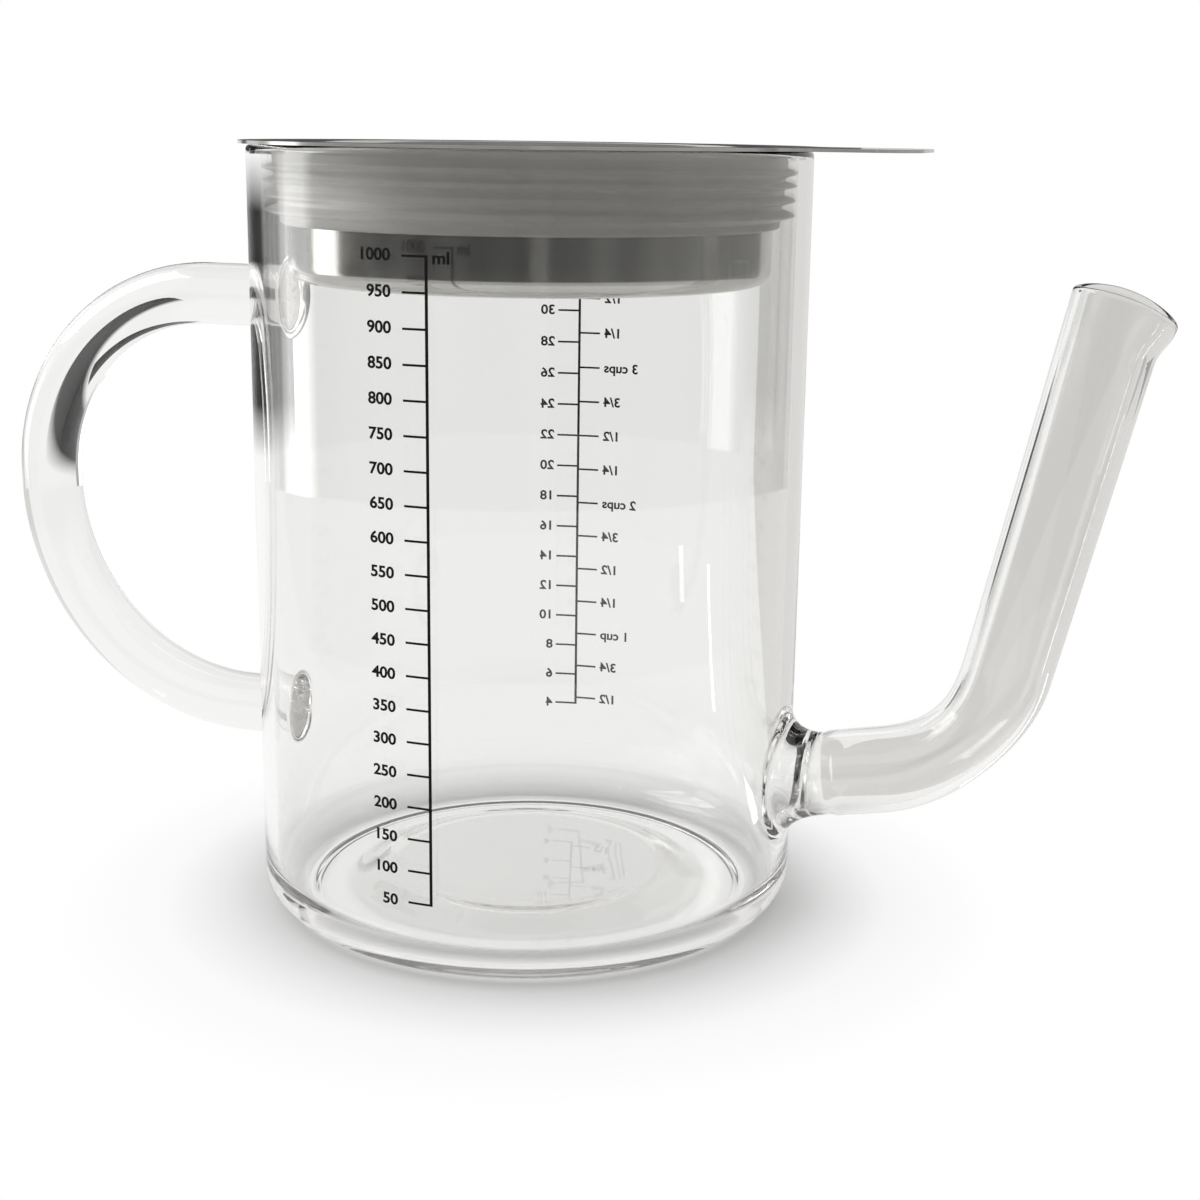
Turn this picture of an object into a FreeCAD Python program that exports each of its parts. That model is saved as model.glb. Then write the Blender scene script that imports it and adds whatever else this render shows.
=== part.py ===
import FreeCAD, Part
import math
import os

# Gravy fat separator: a straight glass jug with a handle on one side and a low spout on the
# other, and a steel strainer with a finned silicone seal that plugs its mouth.
# Millimetres, +Z up. The origin is on the jug's axis, in the plane the foot stands on.
# The spout points along +X, the handle along -X, and the millilitre scale faces -Y.

V = FreeCAD.Vector
UP = V(0, 0, 1)
CENTRE = V(0, 0, 0)

# Glass body
BODY_RADIUS = 53.6
WALL = 2.5
RIM_HEIGHT = 149.3
HEEL_RADIUS = 8.0
INNER_HEEL_RADIUS = 7.0
FOOT_INNER_RADIUS = 43.6
PUNT_RADIUS = 41.2
PUNT_RISE = 2.2
FLOOR_HEIGHT = 8.0
RIM_ROUND = 1.1
HEEL_SPANS = 2
RIM_SPANS = 1
BORE_RADIUS = BODY_RADIUS - WALL

# Handle: a solid glass rod bent to a D and fused on at both ends
ROD_RADIUS = 6.2
HANDLE_TOP = 119.1
HANDLE_BOTTOM = 33.1
HANDLE_REACH = 108.2
UPPER_BEND = 39.1
LOWER_BEND = 45.6
HANDLE_WELD = 1.8
HANDLE_SPANS = 5
HANDLE_FLARE = ((0, 1), (1.6, 0.3), (3.6, 0))

# Spout: a tube that leaves the body low down, bends up and ends in a pouring lip
TUBE_RADIUS = 8.4
TUBE_WALL = 1.5
SPOUT_ROOT_HEIGHT = 29.4
ROOT_SLOPE = 10.2
LEG_SLOPE = 77.3
BEND_RADIUS = 28.8
CORNER_X = 90.8
NECK_LENGTH = 8.6
NECK_WELD = 6.2
BEND_FLATTENING = 0.09
MOUTH_HEIGHT = 125.2
MOUTH_RADIUS = 8.8
LIP_OVERHANG = 2.6
LIP_LEANS = ((9.0, 0), (4.5, 0.25), (1.8, 0.65), (-2.0, 1.2))
MOUTH_CROWN_RADIUS = 25.0
CROWN_OFFSET = 1.5
SPOUT_SPANS = 5
RING_POINTS = 12

# Scales: fired enamel on the outside of the glass
ENAMEL = 0.08
LINE_WIDTH = 0.55
TICK_WIDTH = 0.4
ML_ANGLE = -90.0
ML_TICK = 4.5
OUNCE_ANGLE = 97.0
OUNCE_TICK = 4.9
CUP_TICK = 4.8
HEIGHT_OF_50_ML = 15.9
IMPERIAL_OUNCE = 28.413
METRIC_CUP = 250.0

# Strainer: one drawn sheet of stainless steel
SHEET = 0.6
PLATE_RADIUS = 55.0
CUP_RADIUS = 46.2
CUP_BOTTOM = 124.3
CUP_CORNER = 5.0
COLLAR_BEND = 1.4
TAB_REACH = 75.4
TAB_WIDTH = 30.0
TAB_CORNER = 9.0
TAB_BLEND = 8.0
CUP_SPANS = 2
PLATE_JOINT = PLATE_RADIUS - 4
HOLE_RADIUS = 1.3
HOLE_SIDES = 6
HOLE_RINGS = 4
RING_PITCH = 8.4

# Seal: a silicone ring with fins that bend against the glass
SEAL_CLEARANCE = 0.1
SEAL_BOTTOM = 134.9
SEAL_TOP_RADIUS = 48.9
SEAL_BOTTOM_RADIUS = 47.5
FLANGE_THICKNESS = 1.7
FLANGE_REACH = 50.7
# Each fin: the height and radius of its tip, then the height of the root below it.
FINS = (
    (145.2, 50.8, 144.1),
    (142.9, 50.7, 141.6),
    (140.2, 50.5, 138.9),
    (137.5, 50.4, 136.5),
)

os.makedirs("parts", exist_ok=True)


def at(radius, height):
    """A point of a profile that is turned about the jug's axis."""
    return V(radius, 0, height)


def bend(centre, radius, start, end, spans):
    """Points on an arc in the XZ plane, from the angle start to end in degrees, both included."""
    points = []
    for step in range(spans + 1):
        angle = math.radians(start + (end - start) * step / spans)
        points.append(centre + V(radius * math.cos(angle), 0, radius * math.sin(angle)))
    return points


def turned(points):
    """The solid of a closed outline turned all the way about the jug's axis."""
    outline = Part.makePolygon(points + points[:1])
    solid = Part.Face(outline).revolve(CENTRE, UP, 360)
    # The seam of the round faces goes to +Y, clear of the spout and the handle.
    solid.rotate(CENTRE, UP, 90)
    return solid


def save(name, shape):
    shape.exportStep(os.path.join("parts", name + ".step"))
    box = shape.BoundBox
    size = "%.1f x %.1f x %.1f" % (box.XLength, box.YLength, box.ZLength)
    print(name, size, "volume %.0f" % shape.Volume, "solids", len(shape.Solids), shape.isValid())


def outer_form():
    """The body as a full solid: a shallow punt, the foot it stands on, heel, wall and rim."""
    heel = at(BODY_RADIUS - HEEL_RADIUS, HEEL_RADIUS)
    shoulder = at(BODY_RADIUS - RIM_ROUND, RIM_HEIGHT - RIM_ROUND)
    points = [at(0, PUNT_RISE), at(PUNT_RADIUS, PUNT_RISE), at(FOOT_INNER_RADIUS, 0)]
    points += bend(heel, HEEL_RADIUS, -90, 0, HEEL_SPANS)
    points += bend(shoulder, RIM_ROUND, 0, 90, RIM_SPANS)
    points += [at(0, RIM_HEIGHT)]
    return turned(points)


def cavity():
    """What the body holds: a flat floor, a rounded corner, the straight bore and an eased mouth."""
    corner = at(BORE_RADIUS - INNER_HEEL_RADIUS, FLOOR_HEIGHT + INNER_HEEL_RADIUS)
    ease = at(BORE_RADIUS + RIM_ROUND, RIM_HEIGHT - RIM_ROUND)
    points = [at(0, FLOOR_HEIGHT)]
    points += bend(corner, INNER_HEEL_RADIUS, -90, 0, HEEL_SPANS)
    points += bend(ease, RIM_ROUND, 180, 90, RIM_SPANS)
    points += [at(ease.x, RIM_HEIGHT + 1), at(0, RIM_HEIGHT + 1)]
    return turned(points)


def slope(degrees):
    """The unit direction in the XZ plane at this angle above +X."""
    angle = math.radians(degrees)
    return V(math.cos(angle), 0, math.sin(angle))


def jug_body():
    """The body with the neck that is drawn out of its wall to meet the spout's tube."""
    root = at(BODY_RADIUS, SPOUT_ROOT_HEIGHT)
    along = slope(ROOT_SLOPE)
    run_in = BODY_RADIUS / 2
    neck = Part.makeCylinder(TUBE_RADIUS, run_in + NECK_LENGTH, root - along * run_in, along)
    outside = outer_form().fuse(neck).removeSplitter()
    rings = [edge for edge in outside.Edges
             if edge.CenterOfMass.distanceToPoint(root) < TUBE_RADIUS / 4]
    outside = outside.makeFillet(NECK_WELD, rings)
    bore = Part.makeCylinder(TUBE_RADIUS - TUBE_WALL, 40, root - along * 12, along)
    return outside.cut(cavity()).cut(bore)


def ring(point, angle, in_plane, across):
    """One closed smooth section of a tube, square to its centre line in the XZ plane."""
    sideways = slope(angle - 90)
    points = []
    for step in range(RING_POINTS):
        turn = 2 * math.pi * step / RING_POINTS
        reach = sideways * (in_plane * math.cos(turn)) + V(0, across * math.sin(turn), 0)
        points.append(point + reach)
    curve = Part.BSplineCurve()
    curve.interpolate(points, PeriodicFlag=True)
    return Part.Wire(curve.toShape())


def handle():
    """The bent rod, its two feet flared where they melt into the wall."""
    upper = V(UPPER_BEND - HANDLE_REACH, 0, HANDLE_TOP - UPPER_BEND)
    lower = V(LOWER_BEND - HANDLE_REACH, 0, HANDLE_BOTTOM + LOWER_BEND)
    sunk = 1 - BODY_RADIUS
    rings = []
    for out, share in HANDLE_FLARE:
        foot = ROD_RADIUS + HANDLE_WELD * share
        rings.append(ring(V(sunk - out, 0, HANDLE_TOP), 180, foot, foot))
    for centre, radius, start in ((upper, UPPER_BEND, 90), (lower, LOWER_BEND, 180)):
        for step, point in enumerate(bend(centre, radius, start, start + 90, HANDLE_SPANS)):
            turn = start + 90 + 90 * step / HANDLE_SPANS
            rings.append(ring(point, turn, ROD_RADIUS, ROD_RADIUS))
    for out, share in reversed(HANDLE_FLARE):
        foot = ROD_RADIUS + HANDLE_WELD * share
        rings.append(ring(V(sunk - out, 0, HANDLE_BOTTOM), 360, foot, foot))
    rod = Part.makeLoft(rings, True, True)
    wall = Part.makeCylinder(BODY_RADIUS, RIM_HEIGHT, CENTRE, UP)
    wall.rotate(CENTRE, UP, 90)
    return rod.cut(wall)


def spout_line():
    """The seam at the neck, the bend's centre and the top of the crowned mouth."""
    tangent = BEND_RADIUS * math.tan(math.radians((LEG_SLOPE - ROOT_SLOPE) / 2))
    root = at(BODY_RADIUS, SPOUT_ROOT_HEIGHT)
    seam = root + slope(ROOT_SLOPE) * NECK_LENGTH
    corner = root + slope(ROOT_SLOPE) * ((CORNER_X - BODY_RADIUS) / slope(ROOT_SLOPE).x)
    centre = corner - slope(ROOT_SLOPE) * tangent + slope(ROOT_SLOPE + 90) * BEND_RADIUS
    mouth = corner + slope(LEG_SLOPE) * ((MOUTH_HEIGHT - corner.z) / slope(LEG_SLOPE).z)
    return seam, centre, mouth


def tube(shrink, overrun):
    """The tube's skin as a solid, its radii less shrink, its lower end run on by overrun."""
    seam, centre, mouth = spout_line()
    root_radius = TUBE_RADIUS - shrink
    mouth_radius = MOUTH_RADIUS - shrink
    rings = [ring(seam - slope(ROOT_SLOPE) * overrun, ROOT_SLOPE, root_radius, root_radius)]
    turn = LEG_SLOPE - ROOT_SLOPE
    for step in range(SPOUT_SPANS + 1):
        share = step / SPOUT_SPANS
        angle = ROOT_SLOPE + turn * share
        pinch = BEND_FLATTENING * math.sin(math.pi * share)
        point = centre + slope(angle - 90) * BEND_RADIUS
        rings.append(ring(point, angle, root_radius * (1 - pinch), root_radius * (1 + pinch / 3)))
    outward = slope(LEG_SLOPE - 90)
    for back, lean in LIP_LEANS:
        half = LIP_OVERHANG / 2 * lean
        middle = mouth - slope(LEG_SLOPE) * back + outward * half
        rings.append(ring(middle, LEG_SLOPE, mouth_radius + half, mouth_radius))
    return Part.makeLoft(rings, True, True)


def spout():
    """The tube with its bore, trimmed so that the mouth is crowned and dips at the lip."""
    mouth = spout_line()[-1]
    hollow = tube(0, 0).cut(tube(TUBE_WALL, 1))
    centre = mouth - slope(LEG_SLOPE) * MOUTH_CROWN_RADIUS - slope(LEG_SLOPE - 90) * CROWN_OFFSET
    width = 4 * MOUTH_RADIUS
    crown = Part.makeCylinder(MOUTH_CROWN_RADIUS, width, centre - V(0, width / 2, 0), V(0, 1, 0))
    below = Part.makeBox(2 * centre.x, width, centre.z, V(0, -width / 2, 0))
    return hollow.common(crown.fuse(below))


def millilitre_height(millilitres):
    """The level of this volume: the bore is straight, so levels rise in proportion."""
    area = math.pi * BORE_RADIUS ** 2
    return HEIGHT_OF_50_ML + (millilitres - 50) * 1000 / area


def enamel(angle, width, low, high):
    """A patch of enamel on the glass: it starts at this angle and runs width mm to +angle."""
    face = Part.makePolygon([
        at(BODY_RADIUS, low),
        at(BODY_RADIUS + ENAMEL, low),
        at(BODY_RADIUS + ENAMEL, high),
        at(BODY_RADIUS, high),
        at(BODY_RADIUS, low),
    ])
    sweep = math.degrees(width / BODY_RADIUS)
    patch = Part.Face(face).revolve(CENTRE, UP, sweep)
    patch.rotate(CENTRE, UP, angle)
    return patch


def scale(angle, low, high, ticks):
    """An upright line with ticks. Each tick is (height, length), a minus sign turns it to -angle."""
    line_turn = math.degrees(LINE_WIDTH / 2 / BODY_RADIUS)
    half = TICK_WIDTH / 2
    shape = enamel(angle - line_turn, LINE_WIDTH, low - half, high + half)
    patches = []
    for height, length in ticks:
        start = angle
        if length < 0:
            start = angle - math.degrees(-length / BODY_RADIUS)
        patches.append(enamel(start, abs(length), height - half, height + half))
    return shape.fuse(patches).removeSplitter()


def millilitre_scale():
    """Twenty ticks, from 50 to 1000 millilitres, to the left of the line."""
    heights = [millilitre_height(50 * count) for count in range(1, 21)]
    return scale(ML_ANGLE, heights[0], heights[-1], [(height, -ML_TICK) for height in heights])


def ounce_cup_scale():
    """Imperial ounces by twos on one side of a line, quarter cups on the other."""
    ounces = [millilitre_height(IMPERIAL_OUNCE * count) for count in range(4, 31, 2)]
    cups = [millilitre_height(METRIC_CUP * count / 4) for count in range(2, 15)]
    ticks = [(height, OUNCE_TICK) for height in ounces]
    ticks += [(height, -CUP_TICK) for height in cups]
    return scale(OUNCE_ANGLE, ounces[0], cups[-1], ticks)


def strainer_cup():
    """The drawn cup with its collar turned out at the top, before it is pierced."""
    top = RIM_HEIGHT + SHEET
    corner = at(CUP_RADIUS - CUP_CORNER, CUP_BOTTOM + CUP_CORNER)
    collar = at(CUP_RADIUS + COLLAR_BEND, RIM_HEIGHT - COLLAR_BEND)
    points = [at(0, CUP_BOTTOM)]
    points += bend(corner, CUP_CORNER, -90, 0, CUP_SPANS)
    points += bend(collar, COLLAR_BEND, 180, 90, 1)
    points += [at(PLATE_JOINT, RIM_HEIGHT), at(PLATE_JOINT, top)]
    points += bend(collar, COLLAR_BEND + SHEET, 90, 180, 1)
    points += bend(corner, CUP_CORNER - SHEET, 0, -90, CUP_SPANS)
    points += [at(0, CUP_BOTTOM + SHEET)]
    return turned(points)


def rim_plate():
    """The flat rim with its pull tab, as a washer and a tab with rounded corners."""
    lift = V(0, 0, RIM_HEIGHT)
    disc = Part.makeCylinder(PLATE_RADIUS, SHEET, lift, UP)
    half = TAB_WIDTH / 2
    tab = Part.makeBox(TAB_REACH - 40, TAB_WIDTH, SHEET, V(40, -half, RIM_HEIGHT))
    corners = [edge for edge in tab.Edges
               if abs(edge.CenterOfMass.x - TAB_REACH) < 0.01 and edge.Length < SHEET + 0.01]
    tab = tab.makeFillet(TAB_CORNER, corners)
    plate = disc.fuse(tab).removeSplitter()
    throats = [edge for edge in plate.Edges
               if edge.Length < SHEET + 0.01 and 50 < edge.CenterOfMass.x < 56]
    plate = plate.makeFillet(TAB_BLEND, throats)
    return plate.cut(Part.makeCylinder(PLATE_JOINT, SHEET, lift, UP))


def hole_places():
    """Rings of drain holes: one in the middle, then six more in each ring."""
    places = [V(0, 0, CUP_BOTTOM - 1)]
    for row in range(1, HOLE_RINGS + 1):
        for count in range(6 * row):
            turn = 2 * math.pi * (count + 0.5 * (row % 2)) / (6 * row)
            reach = row * RING_PITCH
            places.append(V(reach * math.cos(turn), reach * math.sin(turn), CUP_BOTTOM - 1))
    return places


def hole_corners(place):
    """The corners of one drain hole, its first corner again at the end."""
    corners = []
    for step in range(HOLE_SIDES + 1):
        turn = 2 * math.pi * step / HOLE_SIDES
        corners.append(place + V(HOLE_RADIUS * math.cos(turn), HOLE_RADIUS * math.sin(turn), 0))
    return corners


def strainer():
    """Cup, rim and tab in one sheet, with the bottom pierced."""
    whole = strainer_cup().fuse(rim_plate()).removeSplitter()
    punches = []
    for place in hole_places():
        outline = Part.makePolygon(hole_corners(place))
        punches.append(Part.Face(outline).extrude(UP * (SHEET + 2)))
    return whole.cut(Part.makeCompound(punches))


def silicone_seal():
    """The ring that grips the cup: a flange under the rim plate and four fins."""
    inner = CUP_RADIUS + SEAL_CLEARANCE
    flange = RIM_HEIGHT - FLANGE_THICKNESS
    chamfer = COLLAR_BEND + SEAL_CLEARANCE

    def core(height):
        share = (height - SEAL_BOTTOM) / (flange - SEAL_BOTTOM)
        return SEAL_BOTTOM_RADIUS + (SEAL_TOP_RADIUS - SEAL_BOTTOM_RADIUS) * share

    points = [at(inner, SEAL_BOTTOM), at(inner, RIM_HEIGHT - chamfer), at(inner + chamfer, RIM_HEIGHT)]
    points += [at(FLANGE_REACH, RIM_HEIGHT), at(core(flange), flange)]
    for height, reach, lower in FINS:
        points += [at(reach, height), at(core(lower), lower)]
    points += [at(SEAL_BOTTOM_RADIUS, SEAL_BOTTOM)]
    return turned(points)


save("jug_body", jug_body())
save("handle", handle())
save("spout", spout())
save("millilitre_scale", millilitre_scale())
save("ounce_cup_scale", ounce_cup_scale())
save("strainer", strainer())
save("silicone_seal", silicone_seal())
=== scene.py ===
# %% [markdown]
# A glass gravy fat separator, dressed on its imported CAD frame. The frame gives the real size and
# the moving bodies. This script gives the looks: one fused glass shell, fired enamel scales, a
# drawn steel strainer and a translucent silicone seal, on a white floor in soft studio light.

# %% The frame
import math

import bmesh
import bpy
import numpy as np
from mathutils import Matrix, Vector


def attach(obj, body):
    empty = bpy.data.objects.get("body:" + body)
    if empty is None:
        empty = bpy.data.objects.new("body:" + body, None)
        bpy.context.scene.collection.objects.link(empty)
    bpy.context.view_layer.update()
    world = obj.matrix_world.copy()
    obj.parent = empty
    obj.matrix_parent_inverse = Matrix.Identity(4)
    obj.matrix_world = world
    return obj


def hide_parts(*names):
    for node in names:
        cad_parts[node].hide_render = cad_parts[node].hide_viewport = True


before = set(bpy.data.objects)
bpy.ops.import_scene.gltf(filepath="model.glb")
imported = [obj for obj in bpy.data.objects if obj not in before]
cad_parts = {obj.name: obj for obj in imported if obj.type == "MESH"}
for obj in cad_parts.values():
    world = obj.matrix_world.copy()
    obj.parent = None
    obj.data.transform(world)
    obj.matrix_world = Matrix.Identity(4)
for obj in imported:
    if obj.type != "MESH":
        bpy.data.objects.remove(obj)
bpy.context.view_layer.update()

MM = 0.001
WELD = 2e-6

# %% [markdown]
# A mesh here is a list of grids: whole arrays of points, rows by columns, in millimetres. Grids
# that share an edge are written with the same points there, so merging doubles closes the shell.

# %% From grids of points to a mesh


def grid_quads(rows, columns, start=0, closed=True, keep=None):
    """Corner numbers of every cell of a grid: the point, the next one along, then both a row up.
    A closed grid's last column joins its first. keep masks out cells, as for a window."""
    numbers = start + np.arange(rows * columns).reshape(rows, columns)
    if closed:
        numbers = np.concatenate([numbers, numbers[:, :1]], axis=1)
    cells = np.stack([numbers[:-1, :-1], numbers[:-1, 1:], numbers[1:, 1:], numbers[1:, :-1]], -1)
    return cells.reshape(-1, 4) if keep is None else cells[keep]


def link(name, data):
    """A new object in the scene that holds this mesh, curve, camera or lamp."""
    thing = bpy.data.objects.new(name, data)
    bpy.context.scene.collection.objects.link(thing)
    return thing


def welded(name, points, faces, weld=WELD, smooth=True, sharp=None, hidden=None):
    """An object of these faces on points in millimetres. Points nearer than weld metres become
    one, faces that hidden picks go, and the rest turn outwards. Where sharp is given, edges that
    bend by more than that many degrees stay crisp."""
    mesh = bpy.data.meshes.new(name)
    mesh.from_pydata(points * MM, [], faces)
    work = bmesh.new()
    work.from_mesh(mesh)
    bmesh.ops.remove_doubles(work, verts=work.verts, dist=weld)
    if hidden:
        bmesh.ops.delete(work, geom=[face for face in work.faces if hidden(face)], context="FACES")
    bmesh.ops.recalc_face_normals(work, faces=work.faces)
    for face in work.faces:
        face.smooth = smooth
    if sharp:
        for edge in work.edges:
            edge.smooth = (len(edge.link_faces) == 2
                           and edge.calc_face_angle(0) < math.radians(sharp))
    loose = sum(1 for edge in work.edges if len(edge.link_faces) != 2)
    work.to_mesh(mesh)
    work.free()
    print(name, len(mesh.polygons), "faces,", loose, "edges that don't join two faces")
    return link(name, mesh)


def mesh_from_grids(name, grids):
    """One closed and smooth object from (points, closed, keep) grids."""
    points, quads, count = [], [], 0
    for grid, closed, keep in grids:
        quads.append(grid_quads(*grid.shape[:2], count, closed, keep))
        points.append(grid.reshape(-1, 3))
        count += points[-1].shape[0]
    return welded(name, np.concatenate(points), np.concatenate(quads).tolist())


def curve_mesh(curve):
    """The filled mesh of a curve or a text as points and faces. The curve itself is removed."""
    holder = link(curve.name, curve)
    mesh = bpy.data.meshes.new_from_object(holder.evaluated_get(
        bpy.context.evaluated_depsgraph_get()))
    points = np.empty(len(mesh.vertices) * 3)
    mesh.vertices.foreach_get("co", points)
    faces = [tuple(face.vertices) for face in mesh.polygons]
    bpy.data.objects.remove(holder)
    bpy.data.curves.remove(curve)
    bpy.data.meshes.remove(mesh)
    return points.reshape(-1, 3), faces


def lathe(profile, columns):
    """A profile of (radius, height) points carried round the axis: x is the radius times the
    cosine of the turn, y the radius times its sine, and z the height."""
    turn = 2 * np.pi * np.arange(columns) / columns
    radius, height = profile[:, :1], profile[:, 1:]
    return np.stack([radius * np.cos(turn), radius * np.sin(turn), height + 0 * turn], -1)


def arc(centre, radius, start, end, count):
    """Points on a circle in the profile plane, from the angle start to end in degrees."""
    angle = np.radians(np.linspace(start, end, count))
    return np.stack([centre[0] + radius * np.cos(angle), centre[1] + radius * np.sin(angle)], -1)


def ease(share):
    """A smooth step: 3 times the square less twice the cube, flat at 0 and at 1."""
    share = np.clip(share, 0, 1)
    return share * share * (3 - 2 * share)


# %% [markdown]
# The jug's body is blown glass of about one thickness, its floor kicked up in the middle. Its
# section is one profile: from the middle of the underside out to the foot, round the heel, up the
# wall, over the fire-polished rim, and down the inside to the middle of the floor. Turning it
# gives the shell. Where the spout and the handle join, a window is left out of the wall and
# filled by a flared patch.

# %% The body's section
BODY_RADIUS = 53.6
WALL = 2.5
RIM_HEIGHT = 149.3
HEEL = 8.0
INNER_HEEL = 7.5
FOOT_RADIUS = 44.6
FOOT_STEP = 0.9
FOOT_SLOPE = 2.6
KICK_INNER = 26.0
KICK_OUTER = 36.0
KICK_RISE = 2.8
KICK_LAG = 1.0
FLOOR_EDGE = 3.3
FLOOR_RISE = 3.3
FLOOR_DOME = 0.6
COLUMNS = 192
WALL_START = 15.0
WALL_END = 147.5
WALL_ROWS = 84
FLOOR_ROWS = 50
HEEL_ROWS = 16
INNER_HEEL_ROWS = 14
LOW_WALL_ROWS = 5
RIM_ROWS = 13
RIM_TOP = RIM_ROWS // 2
bore_radius = BODY_RADIUS - WALL
wall_heights = np.linspace(WALL_START, WALL_END, WALL_ROWS)


def outer_section():
    """Underside, foot, heel and wall, as far as the start of the rim. Inwards from the foot, the
    underside steps up a little, and its middle is kicked up further."""
    radius = np.linspace(0, FOOT_RADIUS, FLOOR_ROWS)
    rise = (FOOT_STEP * ease((FOOT_RADIUS - radius) / FOOT_SLOPE)
            + KICK_RISE * ease((KICK_OUTER - radius) / (KICK_OUTER - KICK_INNER)))
    heel = arc((BODY_RADIUS - HEEL, HEEL), HEEL, -90, 0, HEEL_ROWS)
    heights = np.linspace(HEEL, WALL_START, LOW_WALL_ROWS)[1:-1]
    low_wall = np.stack([0 * heights + BODY_RADIUS, heights], -1)
    return np.concatenate([np.stack([radius, rise], -1), heel, low_wall])


def rim_section():
    """The rounded rim: half a circle as wide as the wall, between its two faces."""
    middle = (BODY_RADIUS - WALL / 2, RIM_HEIGHT - WALL / 2)
    return arc(middle, WALL / 2, 0, 180, RIM_ROWS)


def floor_section():
    """The inner corner and the floor, in to the axis. The floor follows the kicked-up underside."""
    corner = arc((bore_radius - INNER_HEEL, FLOOR_EDGE + INNER_HEEL), INNER_HEEL, 0, -90,
                 INNER_HEEL_ROWS)
    radius = np.linspace(bore_radius - INNER_HEEL, 0, FLOOR_ROWS)[1:]
    rise = (FLOOR_RISE * ease((KICK_OUTER + KICK_LAG - radius) / (KICK_OUTER - KICK_INNER))
            + FLOOR_DOME * np.clip(1 - (radius / KICK_INNER) ** 2, 0, 1))
    return np.concatenate([corner, np.stack([radius, FLOOR_EDGE + rise], -1)])


# %% [markdown]
# A flared joint is where hot glass is worked into hot glass. Each patch runs from the edge of a
# window in the wall's grid to a ring on the tube. Outside the fillet it stays on the wall's own
# cylinder, and in the fillet it follows a Bezier curve: tangent to the wall at one end, and to
# the tube at the other.

# %% Windows and flares
FLARE_FLAT_ROWS = 7
FLARE_CURVE_ROWS = 13
FLARE_PULL = 0.42
FLARE_STEP = 0.5


def window_loop(facing, middle, half):
    """Grid rows and columns of a square window centred near the angle facing and the height
    middle, and its edge as (row, column) pairs in order round it."""
    pitch = 2 * np.pi * BODY_RADIUS / COLUMNS
    reach = int(round(half / pitch))
    column = int(round(facing / 360 * COLUMNS))
    row = int(np.argmin(abs(wall_heights - middle)))
    rows = np.array([row - reach, row + reach])
    columns = np.array([column - reach, column + reach])
    side = np.arange(2 * reach)
    edge_rows = np.concatenate([0 * side, side, 0 * side + 2 * reach, 2 * reach - side]) + rows[0]
    edge_columns = np.concatenate([side, 0 * side + 2 * reach, 2 * reach - side, 0 * side])
    return rows, columns, edge_rows, edge_columns + columns[0]


def flare(radius, facing, middle, edge_rows, edge_columns, fillet, ring_at, along):
    """The patch from a window's edge to a ring round the joint's axis. For the turn angle phi
    about that axis, a wall point at the distance rho lies rho cos(phi) round the wall and
    rho sin(phi) up it. ring_at(phi) gives the ring, and along is the tube's direction."""
    turn = 2 * np.pi * edge_columns / COLUMNS - math.radians(facing)
    sideways = radius * turn
    upwards = wall_heights[edge_rows] - middle
    phi = np.arctan2(upwards, sideways)
    far = np.hypot(sideways, upwards)

    def on_wall(rho):
        angle = math.radians(facing) + rho * np.cos(phi) / radius
        return np.stack([radius * np.cos(angle), radius * np.sin(angle),
                         middle + rho * np.sin(phi)], -1)

    shares = np.linspace(0, 1, FLARE_FLAT_ROWS)[:, None]
    wall_part = np.stack([on_wall(far + (fillet - far) * share) for share in shares])
    start, end = wall_part[-1], ring_at(phi)
    inward = on_wall(fillet - FLARE_STEP) - start
    inward /= np.linalg.norm(inward, axis=-1, keepdims=True)
    pull = FLARE_PULL * np.linalg.norm(end - start, axis=-1, keepdims=True)
    first, second = start + inward * pull, end - along * pull
    t = np.linspace(0, 1, FLARE_CURVE_ROWS)[1:, None, None]
    curve = ((1 - t) ** 3 * start + 3 * (1 - t) ** 2 * t * first
             + 3 * (1 - t) * t ** 2 * second + t ** 3 * end)
    return np.concatenate([wall_part, curve]), phi


def heading(angle):
    """Unit directions in the XZ plane, at angles in degrees above +X."""
    angle = np.radians(angle)
    return np.stack([np.cos(angle), 0 * angle, np.sin(angle)], -1)


def tube(centres, angles, reach_in, reach_across, side, phi):
    """Rings round a centre line in the XZ plane. A ring's point is its centre, plus the reach
    across times cos(phi) to the side, plus the reach in the plane times sin(phi) along the
    normal, which is the heading turned a quarter turn."""
    normal = heading(np.asarray(angles) + 90)
    across = (reach_across[:, None] * np.cos(phi))[..., None] * np.asarray(side)
    within = (reach_in[:, None] * np.sin(phi))[..., None] * normal[:, None, :]
    return centres[:, None, :] + across + within


# %% [markdown]
# The handle is solid rod, so its centre line and its radius say everything. It leaves the wall
# level, turns through two quarter circles of different radius and comes back level. The ring
# angles slide from those of the upper window to those of the lower one along the way.

# %% The handle
ROD = 6.2
ROD_FLARE = 2.2
HANDLE_TOP = 119.1
HANDLE_BOTTOM = 33.1
HANDLE_REACH = 108.2
UPPER_BEND = 39.1
LOWER_BEND = 45.6
FOOT_LENGTH = 3.4
HANDLE_WINDOW = 10.5
LEVEL_ROWS = (8, 5)
QUARTER_ROWS = (40, 44)


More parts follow.
